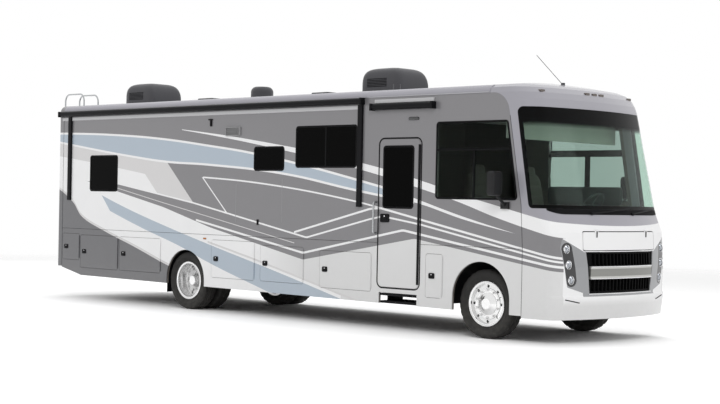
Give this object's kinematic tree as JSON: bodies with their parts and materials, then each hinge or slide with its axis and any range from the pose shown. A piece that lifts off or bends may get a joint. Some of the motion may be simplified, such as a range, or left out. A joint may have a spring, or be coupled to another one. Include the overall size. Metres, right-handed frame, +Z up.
{
  "type": "motorhome",
  "caption": "Class A motorhome coach on a ladder chassis with opening entry door, lockers and front lid, a sliding side room, steered front wheels and twin rear wheels.",
  "frame": {"origin": "on the ground under the middle of the coach's length and width", "axes": "+X forward, +Y to the left, +Z up"},
  "size_m": [11.2789, 3.2006, 3.8629],
  "materials": {
    "upper_paint": "gloss grey paint",
    "lower_paint": "gloss white paint",
    "cap_paint": "gloss silver paint",
    "roof_skin": "satin white",
    "dark_glass": "dark tint",
    "screen_glass": "green tint",
    "black_plastic": "black",
    "bright_trim": "bright",
    "tyre_rubber": "black rubber",
    "wheel_metal": "polished",
    "chassis_black": "satin black",
    "cast_metal": "painted cast",
    "lamp_clear": "clear lens",
    "lamp_red": "red lens",
    "lamp_amber": "amber lens",
    "grey_plastic": "moulded grey",
    "tube_metal": "satin tube",
    "floor_board": "boarded",
    "seat_cover": "stitched",
    "cabin_wood": "veneer",
    "tank_plastic": "moulded tank"
  },
  "bodies": {
    "coach": {"air_conditioners": "grey_plastic", "awnings": "black_plastic", "chassis_frame": "chassis_black", "dashboard": "black_plastic", "engine": "cast_metal", "entry_step": "chassis_black", "floor": "floor_board", "front_axle": "cast_metal", "front_cap": "cap_paint", "grille": "black_plastic", "grille_bar": "bright_trim", "headlamps": "lamp_clear", "hitch_receiver": "chassis_black", "ladder": "tube_metal", "lamp_surrounds": "cap_paint", "leaf_springs": "chassis_black", "left_skirt": "lower_paint", "left_wall": "upper_paint", "locker_boxes": "grey_plastic", "marker_lamps": "lamp_amber", "mirrors": "black_plastic", "overhead_cabinet": "cabin_wood", "rear_axle": "cast_metal", "rear_cap": "cap_paint", "right_skirt": "lower_paint", "right_wall": "upper_paint", "roof": "roof_skin", "roof_fittings": "grey_plastic", "seats": "seat_cover", "side_windows": "dark_glass", "tail_lamps": "lamp_red", "tanks": "tank_plastic", "wheel_liners": "black_plastic", "windscreen": "screen_glass", "wipers": "black_plastic"},
    "entry_door": {"entry_door": "upper_paint", "entry_door_glass": "dark_glass"},
    "front_lid": {"front_lid": "cap_paint"},
    "slide_out": {"slide_out_room": "upper_paint", "slide_out_windows": "dark_glass"},
    "left_steer": {"left_knuckle": "cast_metal"},
    "right_steer": {"right_knuckle": "cast_metal"},
    "front_left_wheel": {"front_left_wheel": "wheel_metal", "front_left_tyre": "tyre_rubber"},
    "front_right_wheel": {"front_right_wheel": "wheel_metal", "front_right_tyre": "tyre_rubber"},
    "rear_left_wheel": {"rear_left_wheel": "wheel_metal", "rear_left_tyres": "tyre_rubber"},
    "rear_right_wheel": {"rear_right_wheel": "wheel_metal", "rear_right_tyres": "tyre_rubber"},
    "rear_service_door": {"rear_service_door": "lower_paint"},
    "rear_locker_door": {"rear_locker_door": "lower_paint"},
    "axle_locker_door": {"axle_locker_door": "lower_paint"},
    "centre_rear_locker_door": {"centre_rear_locker_door": "lower_paint"},
    "centre_locker_door": {"centre_locker_door": "lower_paint"},
    "centre_front_locker_door": {"centre_front_locker_door": "lower_paint"},
    "cab_service_door": {"cab_service_door": "lower_paint"},
    "left_utility_locker_door": {"left_utility_locker_door": "lower_paint"},
    "left_centre_locker_door": {"left_centre_locker_door": "lower_paint"},
    "left_front_locker_door": {"left_front_locker_door": "lower_paint"}
  },
  "joints": [
    {"name": "entry_door_hinge", "type": "hinge", "parent": "coach", "child": "entry_door", "pos_m": [3.1235, -1.2835, 1.6], "axis": [0, 0, 1], "range_deg": [0, 100]},
    {"name": "rear_service_hinge", "type": "hinge", "parent": "coach", "child": "rear_service_door", "pos_m": [-4.8355, -1.2835, 0.8975], "axis": [0, 0, 1], "range_deg": [0, 95]},
    {"name": "rear_locker_hinge", "type": "hinge", "parent": "coach", "child": "rear_locker_door", "pos_m": [-3.7235, -1.2835, 0.8265], "axis": [0, 0, 1], "range_deg": [0, 95]},
    {"name": "axle_locker_hinge", "type": "hinge", "parent": "coach", "child": "axle_locker_door", "pos_m": [-2.5635, -1.2835, 0.8285], "axis": [0, 0, 1], "range_deg": [0, 95]},
    {"name": "centre_rear_locker_hinge", "type": "hinge", "parent": "coach", "child": "centre_rear_locker_door", "pos_m": [-0.2585, -1.2835, 0.8405], "axis": [0, 0, 1], "range_deg": [0, 95]},
    {"name": "centre_locker_hinge", "type": "hinge", "parent": "coach", "child": "centre_locker_door", "pos_m": [0.8315, -1.2835, 0.82], "axis": [0, 0, 1], "range_deg": [0, 95]},
    {"name": "centre_front_locker_hinge", "type": "hinge", "parent": "coach", "child": "centre_front_locker_door", "pos_m": [2.2205, -1.2835, 0.7905], "axis": [0, 0, 1], "range_deg": [0, 95]},
    {"name": "cab_service_hinge", "type": "hinge", "parent": "coach", "child": "cab_service_door", "pos_m": [3.5555, -1.2835, 0.795], "axis": [0, 0, 1], "range_deg": [0, 95]},
    {"name": "left_utility_locker_hinge", "type": "hinge", "parent": "coach", "child": "left_utility_locker_door", "pos_m": [-3.7235, 1.2835, 0.8265], "axis": [0, 0, -1], "range_deg": [0, 95]},
    {"name": "left_centre_locker_hinge", "type": "hinge", "parent": "coach", "child": "left_centre_locker_door", "pos_m": [-0.2585, 1.2835, 0.8405], "axis": [0, 0, -1], "range_deg": [0, 95]},
    {"name": "left_front_locker_hinge", "type": "hinge", "parent": "coach", "child": "left_front_locker_door", "pos_m": [2.2205, 1.2835, 0.7905], "axis": [0, 0, -1], "range_deg": [0, 95]},
    {"name": "front_lid_hinge", "type": "hinge", "parent": "coach", "child": "front_lid", "pos_m": [5.56706, 0, 1.478], "axis": [0, -1, 0], "range_deg": [0, 60]},
    {"name": "slide_out_travel", "type": "slide", "parent": "coach", "child": "slide_out", "axis": [0, 1, 0], "range_m": [0, 0.7]},
    {"name": "right_steering", "type": "hinge", "parent": "coach", "child": "right_steer", "pos_m": [4.229, -0.9, 0.462], "axis": [0, 0, 1], "range_deg": [-42, 42]},
    {"name": "left_steering", "type": "hinge", "parent": "coach", "child": "left_steer", "pos_m": [4.229, 0.9, 0.462], "axis": [0, 0, 1], "range_deg": [-42, 42]},
    {"name": "front_right_spin", "type": "hinge", "parent": "right_steer", "child": "front_right_wheel", "pos_m": [4.229, -1.04, 0.462], "axis": [0, 1, 0], "continuous": true},
    {"name": "front_left_spin", "type": "hinge", "parent": "left_steer", "child": "front_left_wheel", "pos_m": [4.229, 1.04, 0.462], "axis": [0, 1, 0], "continuous": true},
    {"name": "rear_right_spin", "type": "hinge", "parent": "coach", "child": "rear_right_wheel", "pos_m": [-1.918, -0.935, 0.462], "axis": [0, 1, 0], "continuous": true},
    {"name": "rear_left_spin", "type": "hinge", "parent": "coach", "child": "rear_left_wheel", "pos_m": [-1.918, 0.935, 0.462], "axis": [0, 1, 0], "continuous": true}
  ],
  "couplings": [
    {"joint": "left_steering", "follows": "right_steering", "ratio": 1}
  ]
}
